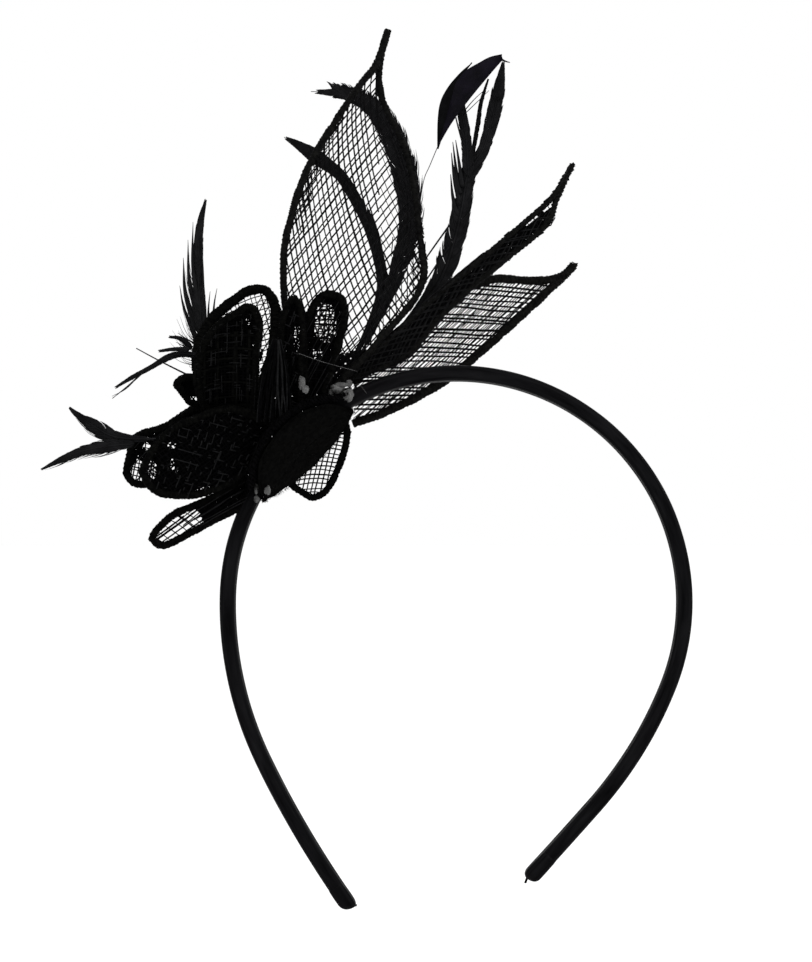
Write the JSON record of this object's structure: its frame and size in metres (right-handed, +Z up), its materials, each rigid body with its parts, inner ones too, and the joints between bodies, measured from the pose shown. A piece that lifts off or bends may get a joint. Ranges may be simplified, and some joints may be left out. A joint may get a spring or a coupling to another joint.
{
  "type": "fascinator headpiece",
  "caption": "Dark fascinator on a satin-covered springy headband: felt pad, open straw leaves and petals with rolled hems, and trimmed feathers on one shoulder.",
  "frame": {"origin": "mount head_rest: the inside of the headband at its highest point, where it rests on the top of the wearer's head", "axes": "+Z up, along the headpiece's height; +X to the right in the front view; +Y away from the front viewer, through the headband's loop"},
  "size_m": [0.1776, 0.0543, 0.2426],
  "materials": {
    "satin": "black satin over the band, soft sheen",
    "spring_strip": "dark springy plastic strip",
    "felt": "black wool felt, matt",
    "sinamay": "black stiffened open straw weave",
    "feather": "black trimmed feather",
    "glossy_feather": "black feather with a violet gloss",
    "glue": "clear set glue"
  },
  "bodies": {
    "crown": {"core_crown": "spring_strip", "cover_crown": "satin", "felt_pad": "felt", "straw_base": "sinamay", "glue_drops": "glue", "leaf_tall": "sinamay", "leaf_folded": "sinamay", "leaf_wide": "sinamay", "petal_rear_high": "sinamay", "petal_front_high": "sinamay", "petal_slim": "sinamay", "petal_round": "sinamay", "petal_under": "sinamay", "petal_long": "sinamay", "petal_rear_low": "sinamay", "petal_front_low": "sinamay", "petal_small": "sinamay", "centre_fold": "sinamay", "feather_hackle": "feather", "feather_biot": "feather", "feather_split": "feather", "feather_folded": "glossy_feather", "feather_rear": "feather", "feather_wisp": "feather", "feather_fork": "feather"},
    "right_arm": {"core_right": "spring_strip", "cover_right": "satin", "tip_right": "satin"},
    "left_arm": {"core_left": "spring_strip", "cover_left": "satin", "tip_left": "satin"}
  },
  "joints": [
    {"name": "right_arm_flex", "type": "hinge", "parent": "crown", "child": "right_arm", "pos_m": [0.06071, 0, -0.04443], "axis": [0, -1, 0], "range_deg": [-3, 14], "stiffness_Nm_per_rad": 0.7},
    {"name": "left_arm_flex", "type": "hinge", "parent": "crown", "child": "left_arm", "pos_m": [-0.06071, 0, -0.04443], "axis": [0, 1, 0], "range_deg": [-3, 14], "stiffness_Nm_per_rad": 0.7}
  ]
}
